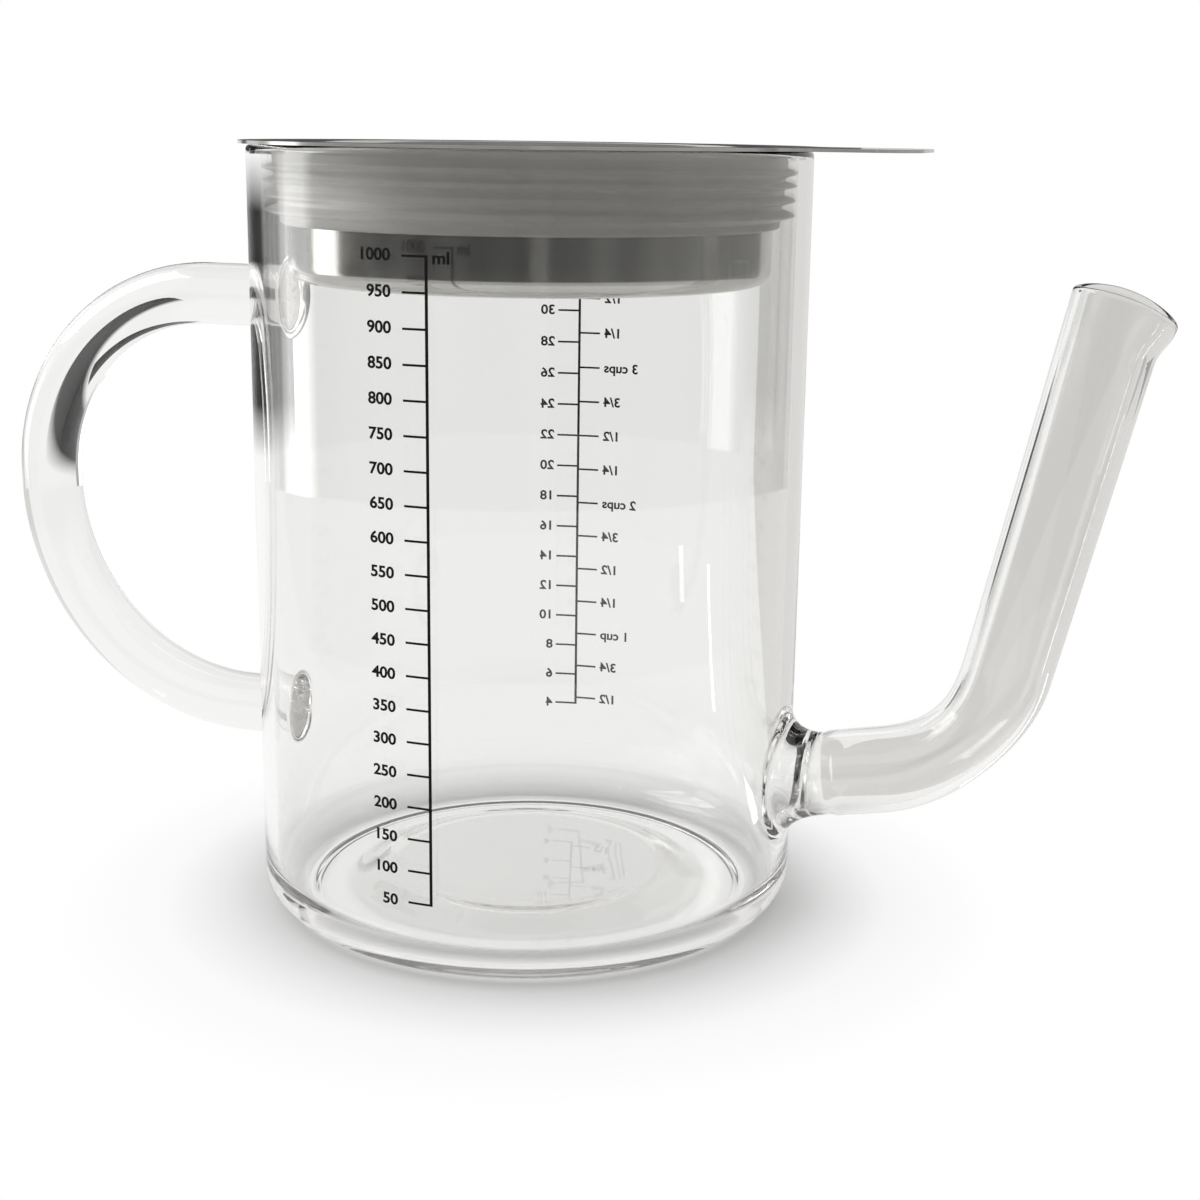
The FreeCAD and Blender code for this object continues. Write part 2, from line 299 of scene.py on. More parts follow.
def handle_line():
    """Centres and headings: level out, a quarter turn down, a quarter turn back, level in."""
    start = -BODY_RADIUS - FOOT_LENGTH
    upper = (UPPER_BEND - HANDLE_REACH, HANDLE_TOP - UPPER_BEND)
    lower = (LOWER_BEND - HANDLE_REACH, HANDLE_BOTTOM + LOWER_BEND)
    out = np.linspace(start, upper[0], LEVEL_ROWS[0])
    first = arc(upper, UPPER_BEND, 90, 180, QUARTER_ROWS[0])
    second = arc(lower, LOWER_BEND, 180, 270, QUARTER_ROWS[1])
    back = np.linspace(lower[0], start, LEVEL_ROWS[1])
    plane = np.concatenate([
        np.stack([out, 0 * out + HANDLE_TOP], -1), first[1:], second,
        np.stack([back, 0 * back + HANDLE_BOTTOM], -1)[1:]])
    angles = np.concatenate([0 * out + 180, np.linspace(180, 270, QUARTER_ROWS[0])[1:],
                             np.linspace(270, 360, QUARTER_ROWS[1]), 0 * back[1:] + 360])
    return np.stack([plane[:, 0], 0 * plane[:, 0], plane[:, 1]], -1), angles


def handle_grids():
    """Both flared feet and the rod between them."""
    side = np.array([0.0, -1.0, 0.0])
    out = np.array([-1.0, 0.0, 0.0])
    grids, windows, ends = [], [], []
    for middle in (HANDLE_TOP, HANDLE_BOTTOM):
        rows, columns, edge_rows, edge_columns = window_loop(180, middle, HANDLE_WINDOW)
        if middle == HANDLE_BOTTOM:
            # Seen along the rod, the lower window runs the other way round.
            first_corner = 1 - len(edge_rows) // 4
            edge_rows = np.roll(edge_rows[::-1], first_corner)
            edge_columns = np.roll(edge_columns[::-1], first_corner)

        def ring_at(phi, middle=middle):
            centre = np.array([[-BODY_RADIUS - FOOT_LENGTH, 0, middle]])
            reach = np.array([ROD])
            return tube(centre, [0], reach, reach, side, phi)[0]

        patch, phi = flare(BODY_RADIUS, 180, middle, edge_rows, edge_columns,
                           ROD + ROD_FLARE, ring_at, out)
        grids.append((patch, True, None))
        windows.append((rows, columns))
        ends.append(phi)
    centres, angles = handle_line()
    # The travelling normal starts at -90 degrees from the heading, so it points up at the top foot.
    begin = np.unwrap(ends[0])
    end = begin + (-ends[1] - begin + np.pi) % (2 * np.pi) - np.pi
    share = np.linspace(0, 1, len(centres))[:, None]
    phi = begin * (1 - share) + end * share
    reach = np.full(len(centres), ROD)
    grids.append((tube(centres, angles - 180, reach, reach, side, phi), True, None))
    return grids, windows


# %% [markdown]
# The spout is a thin-walled tube drawn out of a collar on the body. The bend pinches it a
# little, as bending a hot tube does, and its mouth is cut on a crown and turned out to a lip.

# %% The spout's line
TUBE = 8.4
TUBE_WALL = 1.5
ROOT_HEIGHT = 29.4
ROOT_SLOPE = 10.2
LEG_SLOPE = 77.3
BEND = 28.8
CORNER_X = 90.8
NECK_LENGTH = 8.6
NECK_FILLET = 5.8
PINCH = 0.09
MOUTH_HEIGHT = 125.2
MOUTH = 8.8
LIP = 1.872
LIP_LENGTH = 9.0
CROWN = 25.0
CROWN_OFFSET = 1.5
CROWN_LENGTH = 22.0
SPOUT_WINDOW = 16.0
SEAM_DEPTH = 0.35
SEAM_WIDTH = 0.9
BORE_START = 3.0
BORE_STEP = 2.8
BORE_FILLET = 3.2
ROOT_ROWS = 14
BEND_ROWS = 34
LEG_ROWS = 52
LIP_ROWS = 9
LEG_CROWDING = 1.35
TWIST_START = -0.6
FAR_BELOW = 99.0


def spout_stations():
    """The tube's line from the collar to the mouth: centres, headings, both reaches, how far
    each station is below the mouth, and the mouth. The leg's rows crowd towards the mouth."""
    root = np.array([BODY_RADIUS, 0, ROOT_HEIGHT])
    low, high = heading(ROOT_SLOPE), heading(LEG_SLOPE)
    tangent = BEND * math.tan(math.radians((LEG_SLOPE - ROOT_SLOPE) / 2))
    corner = root + low * ((CORNER_X - BODY_RADIUS) / low[0])
    straight = np.linalg.norm(corner - root) - tangent
    centre = corner - low * tangent + heading(ROOT_SLOPE + 90) * BEND
    leg_start = corner + high * tangent
    mouth = corner + high * ((MOUTH_HEIGHT - corner[2]) / high[2])
    leg = np.linalg.norm(mouth - leg_start)
    out = np.linspace(NECK_LENGTH, straight, ROOT_ROWS)
    share = np.linspace(0, 1, BEND_ROWS)[1:]
    turn = ROOT_SLOPE + (LEG_SLOPE - ROOT_SLOPE) * share
    rise = leg * (1 - (1 - np.linspace(0, 1, LEG_ROWS)[1:]) ** LEG_CROWDING)
    centres = np.concatenate([root + low * out[:, None], centre + heading(turn - 90) * BEND,
                              leg_start + high * rise[:, None]])
    angles = np.concatenate([0 * out + ROOT_SLOPE, turn, 0 * rise + LEG_SLOPE])
    seam = SEAM_DEPTH * np.exp(-((out - NECK_LENGTH) / SEAM_WIDTH) ** 2)
    pinch = PINCH * np.sin(np.pi * share) ** 2
    widen = (MOUTH - TUBE) * (rise / leg)
    reach_in = np.concatenate([TUBE - seam, TUBE * (1 - pinch), TUBE + widen])
    reach_across = np.concatenate([TUBE - seam, TUBE * (1 + pinch / 3), TUBE + widen])
    below = np.concatenate([0 * out + FAR_BELOW, 0 * turn + FAR_BELOW, leg - rise])
    return centres, angles, reach_in, reach_across, below, mouth


def spout_rings(centres, angles, reach_in, reach_across, below, phi, shrink, raised):
    """Rings with the lip and the crown. The lip adds to the reach on the outward side, and the
    crown lifts or lowers each point along the leg by a circle's height at its outward distance."""
    lean = ease(1 - below / LIP_LENGTH)[:, None] * np.clip(-np.sin(phi), 0, 1) ** 1.5
    side = np.array([0.0, 1.0, 0.0])
    rings = tube(centres, angles, reach_in - shrink, reach_across - shrink, side, phi)
    rings += (LIP * lean)[..., None] * heading(LEG_SLOPE - 90)
    outward = -(reach_in - shrink)[:, None] * np.sin(phi) + LIP * lean
    crown = np.sqrt(CROWN ** 2 - (outward + CROWN_OFFSET) ** 2) - CROWN
    weight = ease(1 - below / CROWN_LENGTH)[:, None]
    return rings + (crown * weight + raised[:, None])[..., None] * heading(LEG_SLOPE)


def spout_grids():
    """Collar, outer skin, mouth rim and bore, and the eased hole inside the wall."""
    rows, columns, edge_rows, edge_columns = window_loop(0, ROOT_HEIGHT, SPOUT_WINDOW)
    low = heading(ROOT_SLOPE)
    side = np.array([0.0, 1.0, 0.0])
    root = np.array([BODY_RADIUS, 0, ROOT_HEIGHT])
    start = root + low * BORE_START

    def outer_ring(phi):
        reach = np.array([TUBE - SEAM_DEPTH])
        return tube((root + low * NECK_LENGTH)[None], [ROOT_SLOPE], reach, reach, side, phi)[0]

    def inner_ring(phi):
        reach = np.array([TUBE - TUBE_WALL])
        return tube(start[None], [ROOT_SLOPE], reach, reach, side, phi)[0]

    outer_patch, outer_phi = flare(BODY_RADIUS, 0, ROOT_HEIGHT, edge_rows, edge_columns,
                                   TUBE + NECK_FILLET, outer_ring, low)
    inner_middle = ROOT_HEIGHT - WALL * math.tan(math.radians(ROOT_SLOPE))
    inner_patch, inner_phi = flare(bore_radius, 0, inner_middle, edge_rows, edge_columns,
                                   TUBE - TUBE_WALL + BORE_FILLET, inner_ring, low)
    outer_phi, inner_phi = np.unwrap(outer_phi), np.unwrap(inner_phi)
    centres, angles, reach_in, reach_across, below, mouth = spout_stations()
    skin = spout_rings(centres, angles, reach_in, reach_across, below, outer_phi, 0, 0 * below)
    half = TUBE_WALL / 2
    turn = np.linspace(0, np.pi, LIP_ROWS)[1:-1]
    rim = np.stack([
        spout_rings(mouth[None], [LEG_SLOPE], np.array([MOUTH]), np.array([MOUTH]), np.zeros(1),
                    outer_phi, half * (1 - math.cos(angle)), np.array([half * math.sin(angle)]))[0]
        for angle in turn])
    # The bore starts further in than the skin, and the seam doesn't show in it.
    centres = np.concatenate([start[None], (start + low * BORE_STEP)[None], centres])[::-1]
    angles = np.concatenate([[ROOT_SLOPE] * 2, angles])[::-1]
    reach_in, reach_across = (
        np.concatenate([[TUBE] * (ROOT_ROWS + 2), reach[ROOT_ROWS:]])[::-1]
        for reach in (reach_in, reach_across))
    below = np.concatenate([[FAR_BELOW] * 2, below])[::-1]
    share = ease(np.linspace(TWIST_START, 1, len(centres)))[:, None]
    phi = outer_phi * (1 - share) + inner_phi * share
    bore = spout_rings(centres, angles, reach_in, reach_across, below, phi, TUBE_WALL, 0 * below)
    skin_to_bore = np.concatenate([skin, rim, bore])
    grids = [(outer_patch, True, None), (inner_patch, True, None), (skin_to_bore, True, None)]
    return grids, (rows, columns)


# %% [markdown]
# Body, handle and spout are melted together, so they are one surface. The body's outside and
# inside are two grids that meet at the top of the rim, with the windows left out. The spout opens
# through both, and the solid handle joins the outside alone.

# %% One fused shell


def keep_mask(rows_before, total_rows, windows):
    """True for each cell of the body's grid that isn't inside a window."""
    keep = np.ones((total_rows - 1, COLUMNS), bool)
    for rows, columns in windows:
        picked = np.arange(columns[0], columns[1]) % COLUMNS
        keep[rows_before + rows[0]:rows_before + rows[1], picked] = False
    return keep


def fused_glass():
    """Body, handle and spout as one closed shell."""
    spout_parts, spout_window = spout_grids()
    handle_parts, handle_windows = handle_grids()
    base = outer_section()
    outer_wall = np.stack([0 * wall_heights + BODY_RADIUS, wall_heights], -1)
    rim = rim_section()
    inner_wall = outer_wall[::-1] - [WALL, 0]
    floor = floor_section()
    outside = np.concatenate([base, outer_wall, rim[:RIM_TOP + 1]])
    inside = np.concatenate([rim[RIM_TOP:], inner_wall, floor])
    outside_keep = keep_mask(len(base), len(outside), [spout_window, *handle_windows])
    flipped = (WALL_ROWS - 1 - spout_window[0])[::-1]
    inside_keep = keep_mask(len(rim[RIM_TOP:]), len(inside), [(flipped, spout_window[1])])
    grids = [(lathe(outside, COLUMNS), True, outside_keep),
             (lathe(inside, COLUMNS), True, inside_keep)]
    return mesh_from_grids("fused_glass_jug", grids + spout_parts + handle_parts)


glass = fused_glass()
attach(glass, "jug")
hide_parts("jug_body", "handle", "spout")

# %% [markdown]
# The scales are enamel, screened on the outside of the glass and fired. A tick is a thin closed
# patch wrapped on the cylinder. Numbers are set as flat text, made a mesh, and wrapped the same
# way: the distance along the text becomes an angle, and its height stays a height. The far scale
# reads backwards from the front, because it is printed to be read from behind.

# %% Scales
INK = 0.06
INK_GAP = 0.012
LINE_WIDTH = 0.55
TICK_WIDTH = 0.4
ML_ANGLE = -90.0
ML_TICK = 4.5
ML_NUMBERS = -97.1
ML_UNIT = -88.9
OUNCE_ANGLE = 97.0
OUNCE_TICK = 4.9
CUP_TICK = 4.8
OUNCE_NUMBERS = 103.0
CUP_NUMBERS = 90.8
HEIGHT_OF_50_ML = 15.9
IMPERIAL_OUNCE = 28.413
METRIC_CUP = 250.0
NUMBER_HEIGHT = 2.1
NUMBER_WIDENING = 1.12
STROKE_GROWTH = 0.075
CAPITAL_SHARE = 0.729
UNIT_DROP = 0.3
PATCH_COLUMNS = 6
PRINT_WELD = 1e-6


def level(millilitres):
    """The height of a volume in a straight bore: 50 ml higher than the last for each 50 ml."""
    return HEIGHT_OF_50_ML + (millilitres - 50) * 1000 / (math.pi * bore_radius ** 2)


def wrapped(points, angle):
    """Flat print points (along, up, out) in millimetres laid on the glass round the given angle:
    the turn is the distance along divided by the radius."""
    turn = math.radians(angle) + points[:, 0] / BODY_RADIUS
    radius = BODY_RADIUS + INK_GAP + points[:, 2]
    return np.stack([radius * np.cos(turn), radius * np.sin(turn), points[:, 1]], -1)


def patch(left, right, low, high):
    """A closed box of ink between these flat limits, in six columns so that it can wrap."""
    flat = np.linspace(left, right, PATCH_COLUMNS)[:, None]
    section = np.array([[low, 0], [high, 0], [high, INK], [low, INK]])
    body = np.stack([flat + 0 * section[:, 0], 0 * flat + section[:, 0],
                     0 * flat + section[:, 1]], -1)
    caps = [np.stack([body[end, :2], body[end, [3, 2]]]) for end in (0, -1)]
    return [(body, True, None), (caps[0], False, None), (caps[1], False, None)]


def number(text, anchor, height, align):
    """Flat text of the scale's height as points and faces, in millimetres."""
    curve = bpy.data.curves.new("number", "FONT")
    curve.body = text
    curve.align_x = align
    curve.align_y = "CENTER"
    curve.size = NUMBER_HEIGHT / CAPITAL_SHARE
    curve.extrude = INK / 2
    curve.offset = STROKE_GROWTH
    curve.resolution_u = 4
    points, faces = curve_mesh(curve)
    return points * [NUMBER_WIDENING, 1, 1] + [anchor, height, INK / 2], faces


def print_piece(name, angle, patches, numbers):
    """One printed scale: its line, ticks and numbers joined in one object."""
    points, faces, count = [], [], 0
    for grid, closed, _ in patches:
        faces += grid_quads(*grid.shape[:2], count, closed).tolist()
        points.append(wrapped(grid.reshape(-1, 3), angle))
        count += len(points[-1])
    for flat, text_faces in numbers:
        faces += [tuple(corner + count for corner in face) for face in text_faces]
        points.append(wrapped(flat, angle))
        count += len(flat)
    return welded(name, np.concatenate(points), faces, weld=PRINT_WELD, smooth=False)


def along(angle, base):
    """The distance round the glass from the scale's line to an angle."""
    return math.radians(angle - base) * BODY_RADIUS


def millilitre_print():
    """Twenty ticks to the left of the line, each with its number, and the unit at the top."""
    half = TICK_WIDTH / 2
    levels = [level(50 * count) for count in range(1, 21)]
    patches = patch(-LINE_WIDTH / 2, LINE_WIDTH / 2, levels[0] - half, levels[-1] + half)
    numbers = [number("ml", along(ML_UNIT, ML_ANGLE), levels[-1] - UNIT_DROP, "LEFT")]
    for count, height in enumerate(levels, 1):
        patches += patch(-ML_TICK, -LINE_WIDTH / 2, height - half, height + half)
        numbers.append(number(str(50 * count), along(ML_NUMBERS, ML_ANGLE), height, "RIGHT"))
    return print_piece("millilitre_print", ML_ANGLE, patches, numbers)


def ounce_cup_print():
    """Imperial ounces on one side of a line and metric quarter cups on the other."""
    half = TICK_WIDTH / 2
    ounces = {count: level(IMPERIAL_OUNCE * count) for count in range(4, 31, 2)}
    quarters = {count: level(METRIC_CUP * count / 4) for count in range(2, 15)}
    patches = patch(-LINE_WIDTH / 2, LINE_WIDTH / 2, ounces[4] - half, quarters[14] + half)
    numbers = []
    for count, height in ounces.items():
        patches += patch(LINE_WIDTH / 2, OUNCE_TICK, height - half, height + half)
        numbers.append(number(str(count), along(OUNCE_NUMBERS, OUNCE_ANGLE), height, "LEFT"))
    words = {4: "1 cup", 8: "2 cups", 12: "3 cups"}
    parts = {1: "1/4", 2: "1/2", 3: "3/4"}
    for count, height in quarters.items():
        patches += patch(-CUP_TICK, -LINE_WIDTH / 2, height - half, height + half)
        label = words.get(count) or parts[count % 4]
        numbers.append(number(label, along(CUP_NUMBERS, OUNCE_ANGLE), height, "RIGHT"))
    return print_piece("ounce_cup_print", OUNCE_ANGLE, patches, numbers)


near_print, far_print = millilitre_print(), ounce_cup_print()
for piece, node in ((near_print, "millilitre_scale"), (far_print, "ounce_cup_scale")):
    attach(piece, "jug")
    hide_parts(node)

# %% [markdown]
# The strainer is one sheet of stainless steel, drawn to a cup, with a flat rim cut to a disc with
# a tab. Its flat parts are curves with holes in them, filled and made a mesh: the rim plate, whose
# outline swells into the tab, and the bottom with its rings of drain holes. A turned grid makes
# the cup's wall between them.

# %% Strainer
SHEET = 0.6
PLATE_RADIUS = 55.0
CUP_RADIUS = 46.2
CUP_BOTTOM = 124.3
CUP_CORNER = 3.2
COLLAR_BEND = 1.4
TAB_REACH = 75.4
TAB_HALF = 15.0
TAB_CORNER = 9.0
TAB_BLEND = 8.0
HOLE_RADIUS = 1.3
HOLE_RINGS = 4
RING_PITCH = 8.4
HOLE_POINTS = 16
DISC_POINTS = 90
TAB_POINTS = 12
CUP_COLUMNS = 128
CORNER_ROWS = 10
COLLAR_ROWS = 7
STRAINER_WELD = 5e-6
JOINT_SLACK = 0.1
SHARP_BEND = 40


def circle(radius, count, centre=(0, 0)):
    """Points round a circle."""
    turn = 2 * np.pi * np.arange(count) / count
    return np.stack([centre[0] + radius * np.cos(turn), centre[1] + radius * np.sin(turn)], -1)


def tab_outline():
    """The rim plate's outline: the disc's arc, a concave fillet, the tab's side, its rounded
    corner and its end, then the same mirrored."""
    fillet_y = TAB_HALF + TAB_BLEND
    fillet_x = math.sqrt((PLATE_RADIUS + TAB_BLEND) ** 2 - fillet_y ** 2)
    lean = math.degrees(math.atan2(fillet_y, fillet_x))
    disc = arc((0, 0), PLATE_RADIUS, 180, lean, DISC_POINTS)
    throat = arc((fillet_x, fillet_y), TAB_BLEND, lean + 180, 270, TAB_POINTS)
    corner = arc((TAB_REACH - TAB_CORNER, TAB_HALF - TAB_CORNER), TAB_CORNER, 90, 0, TAB_POINTS)
    upper = np.concatenate([disc, throat[1:], corner])
    return np.concatenate([upper, upper[::-1][:-1] * [1, -1]])


def hole_outlines():
    """One hole in the middle, then rings of six more each."""
    outlines = [circle(HOLE_RADIUS, HOLE_POINTS)]
    for row in range(1, HOLE_RINGS + 1):
        reach = row * RING_PITCH
        for count in range(6 * row):
            turn = 2 * math.pi * (count + 0.5 * (row % 2)) / (6 * row)
            middle = (reach * math.cos(turn), reach * math.sin(turn))
            outlines.append(circle(HOLE_RADIUS, HOLE_POINTS, middle))
    return outlines


def cut_sheet(outlines, middle):
    """A flat sheet SHEET thick: the first outline filled, the others left open in it."""
    curve = bpy.data.curves.new("sheet", "CURVE")
    curve.dimensions = "2D"
    curve.fill_mode = "BOTH"
    curve.extrude = SHEET / 2
    for outline in outlines:
        line = curve.splines.new("POLY")
        line.points.add(len(outline) - 1)
        flat = np.pad(outline, ((0, 0), (0, 2)))
        flat[:, 3] = 1
        line.points.foreach_set("co", flat.ravel())
        line.use_cyclic_u = True
    points, faces = curve_mesh(curve)
    return points + [0, 0, middle], faces


def cup_section():
    """The sheet's section from the bottom's edge to the rim plate's hole, up the outside and
    back down the inside."""
    corner = (CUP_RADIUS - CUP_CORNER, CUP_BOTTOM + CUP_CORNER)
    collar = (CUP_RADIUS + COLLAR_BEND, RIM_HEIGHT - COLLAR_BEND)
    return np.concatenate([arc(corner, CUP_CORNER, -90, 0, CORNER_ROWS),
                           arc(collar, COLLAR_BEND, 180, 90, COLLAR_ROWS),
                           arc(collar, COLLAR_BEND + SHEET, 90, 180, COLLAR_ROWS),
                           arc(corner, CUP_CORNER - SHEET, 0, -90, CORNER_ROWS)])


def strainer_mesh():
    """The three parts of the one sheet, joined."""
    joint = CUP_RADIUS + COLLAR_BEND
    floor_edge = CUP_RADIUS - CUP_CORNER
    top = cut_sheet([tab_outline(), circle(joint, CUP_COLUMNS)], RIM_HEIGHT + SHEET / 2)
    bottom = cut_sheet([circle(floor_edge, CUP_COLUMNS), *hole_outlines()], CUP_BOTTOM + SHEET / 2)
    wall = lathe(cup_section(), CUP_COLUMNS)
    points = [top[0], bottom[0], wall.reshape(-1, 3)]
    starts = np.cumsum([0] + [len(part) for part in points])
    faces = list(top[1])
    faces += [tuple(corner + starts[1] for corner in face) for face in bottom[1]]
    faces += grid_quads(*wall.shape[:2], starts[2]).tolist()

    def inside_the_sheet(face):
        """True for a flat part's own cut edge at a joint, which the finished sheet encloses."""
        middle = face.calc_center_median()
        reach, height = math.hypot(middle.x, middle.y) / MM, middle.z / MM
        return abs(face.normal.z) < 0.5 and any(
            abs(reach - edge) < JOINT_SLACK and abs(height - base - SHEET / 2) < JOINT_SLACK
            for edge, base in ((joint, RIM_HEIGHT), (floor_edge, CUP_BOTTOM)))

    return welded("drawn_strainer", np.concatenate(points), faces, weld=STRAINER_WELD,
                  sharp=SHARP_BEND, hidden=inside_the_sheet)


strainer = strainer_mesh()
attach(strainer, "strainer")
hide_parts("strainer")

# %% [markdown]
# The seal is moulded silicone. Its section is a core that tapers downwards, a flange under the
# rim plate, and four fins with rounded tips. Each fin is a cosine hump, so root and tip are soft.

# %% Seal
SEAL_BORE = 46.3
SEAL_BOTTOM = 134.9
SEAL_FLANGE = 147.6
CORE_TOP = 48.9
CORE_BOTTOM = 47.5
FLANGE_REACH = 50.7
FINS = ((145.2, 50.8, 0.95), (142.9, 50.7, 0.8), (140.2, 50.5, 1.0), (137.5, 50.4, 1.1))
FIN_FULLNESS = 0.8
CHAMFER_ROOM = 0.1
UNDER_PLATE = 0.02
SOFT_EDGE = 0.3
FIN_ROWS = 110
SEAL_COLUMNS = 160


def seal_section():
    """The closed outline: up the bore, out along the top, and down the finned side."""
    chamfer = COLLAR_BEND + CHAMFER_ROOM
    ceiling = RIM_HEIGHT - UNDER_PLATE
    edge = FLANGE_REACH - SOFT_EDGE
    top = np.array([[SEAL_BORE, SEAL_BOTTOM], [SEAL_BORE, RIM_HEIGHT - chamfer],
                    [SEAL_BORE + chamfer, ceiling], [edge, ceiling]])
    lip = arc((edge, ceiling - SOFT_EDGE), SOFT_EDGE, 60, -30, 4)
    heights = np.linspace(SEAL_FLANGE, SEAL_BOTTOM + SOFT_EDGE, FIN_ROWS)
    share = (heights - SEAL_BOTTOM) / (SEAL_FLANGE - SEAL_BOTTOM)
    side = CORE_BOTTOM + (CORE_TOP - CORE_BOTTOM) * share
    core = side.copy()
    for height, reach, half in FINS:
        near = np.clip((heights - height) / half, -1, 1)
        hump = (0.5 + 0.5 * np.cos(np.pi * near)) ** FIN_FULLNESS
        side = np.maximum(side, core + (reach - core) * hump)
    finned = np.stack([side, heights], -1)
    foot = np.array([[CORE_BOTTOM - SOFT_EDGE, SEAL_BOTTOM]])
    return np.concatenate([top, lip, finned, foot, top[:1]])


seal = mesh_from_grids("finned_seal", [(lathe(seal_section(), SEAL_COLUMNS), True, None)])
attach(seal, "seal")
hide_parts("silicone_seal")

# %% [markdown]
# Each material starts from the real one's values and is then matched. Colours are written as sRGB
# hex and turned to linear here. One function adds a node, with its settings and links.

# %% Material helpers


def linear(code):
    """An sRGB hex colour as linear red, green, blue and 1."""
    parts = [int(code[start:start + 2], 16) / 255 for start in (1, 3, 5)]
    return [part / 12.92 if part <= 0.04045 else ((part + 0.055) / 1.055) ** 2.4
            for part in parts] + [1]


def add(tree, kind, settings=(), **inputs):
    """A node of this kind. settings are its own properties. Each input is a value, or the output
    socket that feeds it; underscores in an input's name stand for spaces."""
    node = tree.nodes.new(kind)
    for name, value in dict(settings).items():
        setattr(node, name, value)
    for name, value in inputs.items():
        socket = node.inputs[int(name[1:]) if name[1:].isdigit() else name.replace("_", " ")]
        if isinstance(value, bpy.types.NodeSocket):
            tree.links.new(value, socket)
        else:
            socket.default_value = value
    return node


def new_material(name):
    """An empty node material and its tree."""
    material = bpy.data.materials.new(name)
    material.use_nodes = True
    material.node_tree.nodes.clear()
    return material, material.node_tree


def finish(material, shader, *pieces):
    """Puts the material on the pieces and sends the shader to its output, which it returns."""
    for piece in pieces:
        piece.data.materials.clear()
        piece.data.materials.append(material)
    return add(material.node_tree, "ShaderNodeOutputMaterial", Surface=shader)


# %% [markdown]
# Borosilicate glass, drawn as tube and worked in a flame. It is clear, with the faint waves that
# drawing leaves, a few tens of millimetres apart. Lamps shine through it, so a shadow ray passes
# with a little loss instead of stopping, and the jug's shadow stays pale.

# %% Glass
GLASS_IOR = 1.47
GLASS_LOSS = 15.0
GLASS_TINT = (0.82, 0.805, 0.795, 1)
WAVE_SCALE = 45.0
WAVE_STRETCH = 0.35


def borosilicate_glass():
    material, tree = new_material("borosilicate_glass")
    place = add(tree, "ShaderNodeTexCoord")
    stretch = add(tree, "ShaderNodeMapping", Vector=place.outputs["Object"],
                  Scale=(WAVE_SCALE, WAVE_SCALE, WAVE_SCALE * WAVE_STRETCH))
    waves = add(tree, "ShaderNodeTexNoise", Vector=stretch.outputs["Vector"], Scale=1.0, Detail=1.0)
    ripple = add(tree, "ShaderNodeBump", Strength=0.10, Distance=0.0004, Height=waves.outputs[0])
    clear = add(tree, "ShaderNodeBsdfPrincipled", Base_Color=linear("#f8f8f7"), Roughness=0.0,
                IOR=GLASS_IOR, Transmission_Weight=1.0, Normal=ripple.outputs["Normal"])
    through = add(tree, "ShaderNodeBsdfTransparent", Color=linear("#e6e6e5"))
    depth = add(tree, "ShaderNodeVolumeAbsorption", Color=GLASS_TINT, Density=GLASS_LOSS)
    path = add(tree, "ShaderNodeLightPath")
    lamp = add(tree, "ShaderNodeMath", {"operation": "MAXIMUM"}, _0=path.outputs["Is Shadow Ray"],
               _1=path.outputs["Is Diffuse Ray"])
    both = add(tree, "ShaderNodeMixShader", _0=lamp.outputs[0], _1=clear.outputs[0],
               _2=through.outputs[0])
    output = finish(material, both.outputs[0], glass)
    tree.links.new(depth.outputs[0], output.inputs["Volume"])


borosilicate_glass()

# %% [markdown]
# Screened glass enamel: a matt ceramic colour, near black, a little uneven where the screen let
# more or less through. Its speckle is finer than a tick is wide.

# %% Enamel


def screened_enamel():
    material, tree = new_material("screened_enamel")
    place = add(tree, "ShaderNodeTexCoord")
    speckle = add(tree, "ShaderNodeTexNoise", Vector=place.outputs["Object"], Scale=6000.0,
                  Detail=2.0)
    shade = add(tree, "ShaderNodeValToRGB", Fac=speckle.outputs[0])
    shade.color_ramp.elements[0].color = linear("#0c0c0c")
    shade.color_ramp.elements[1].color = linear("#1c1c1b")
    ink = add(tree, "ShaderNodeBsdfPrincipled", Base_Color=shade.outputs[0], Roughness=0.6,
              Specular_IOR_Level=0.1)
    finish(material, ink.outputs[0], near_print, far_print)


screened_enamel()

# %% [markdown]
# Stainless steel, drawn and then polished on a wheel, so its fine lines run round the axis.
# Noise read by reach and height alone draws them, with cells 0.2 mm across.

# %% Steel


def drawn_steel():
    material, tree = new_material("drawn_stainless_steel")
    place = add(tree, "ShaderNodeTexCoord")
    parts = add(tree, "ShaderNodeSeparateXYZ", Vector=place.outputs["Object"])
    square = [add(tree, "ShaderNodeMath", {"operation": "POWER"}, _0=part, _1=2.0).outputs[0]
              for part in parts.outputs[:2]]
    total = add(tree, "ShaderNodeMath", {"operation": "ADD"}, _0=square[0], _1=square[1])
    reach = add(tree, "ShaderNodeMath", {"operation": "SQRT"}, _0=total.outputs[0])
    turned = add(tree, "ShaderNodeCombineXYZ", X=reach.outputs[0], Y=parts.outputs[2])
    lines = add(tree, "ShaderNodeTexNoise", Vector=turned.outputs[0], Scale=5000.0, Detail=3.0)
    blotch = add(tree, "ShaderNodeTexNoise", Vector=place.outputs["Object"], Scale=60.0, Detail=3.0)
    gloss = add(tree, "ShaderNodeMapRange", Value=lines.outputs[0], To_Min=0.08, To_Max=0.2)
    tone = add(tree, "ShaderNodeValToRGB", Fac=blotch.outputs[0])
    tone.color_ramp.elements[0].color = linear("#b9b8b4")
    tone.color_ramp.elements[1].color = linear("#cfcecb")
    relief = add(tree, "ShaderNodeBump", Strength=0.12, Distance=0.00002, Height=lines.outputs[0])
    steel = add(tree, "ShaderNodeBsdfPrincipled", Base_Color=tone.outputs[0], Metallic=1.0,
                Roughness=gloss.outputs[0], Normal=relief.outputs[0])
    finish(material, steel.outputs[0], strainer)


drawn_steel()

